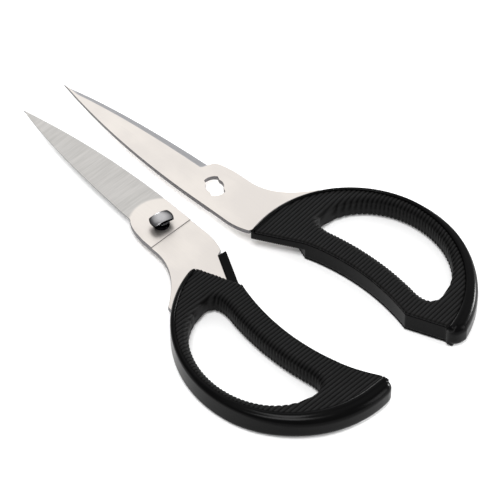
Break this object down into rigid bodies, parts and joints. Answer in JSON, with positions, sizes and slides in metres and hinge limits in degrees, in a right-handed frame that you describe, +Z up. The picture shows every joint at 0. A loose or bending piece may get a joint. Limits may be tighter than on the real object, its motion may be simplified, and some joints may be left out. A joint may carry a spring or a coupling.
{
  "type": "poultry shears",
  "caption": "Take-apart poultry shears: two bevelled steel blades with black finger-loop handles, one carrying a flatted pivot stud, the other a keyed hole.",
  "frame": {"origin": "on the ground under the middle of the pair of halves, bottom centre of the bounding box", "axes": "+X runs from the blade tips to the rear of the finger loops, +Y from half A to half B, +Z up"},
  "size_m": [0.2102, 0.1282, 0.012],
  "materials": {
    "blade_steel": "fine satin grain with a ground bevel along the edge",
    "stud_steel": "turned and polished",
    "hard_black": "satin to gloss moulded plastic",
    "soft_black": "matte, moulded with fine cross ribs"
  },
  "bodies": {
    "half_a": {"blade_a": "blade_steel", "pivot_stud": "stud_steel", "handle_a": "hard_black", "grip_a": "soft_black"},
    "half_b": {"blade_b": "blade_steel", "handle_b": "hard_black", "grip_b": "soft_black"}
  },
  "joints": [
    {"name": "half_b_turn", "type": "hinge", "parent": "half_a", "child": "half_b", "pos_m": [-0.01784, 0.01383, 0.00735], "axis": [0, 0, 1], "range_deg": [-3.8, 45]}
  ]
}
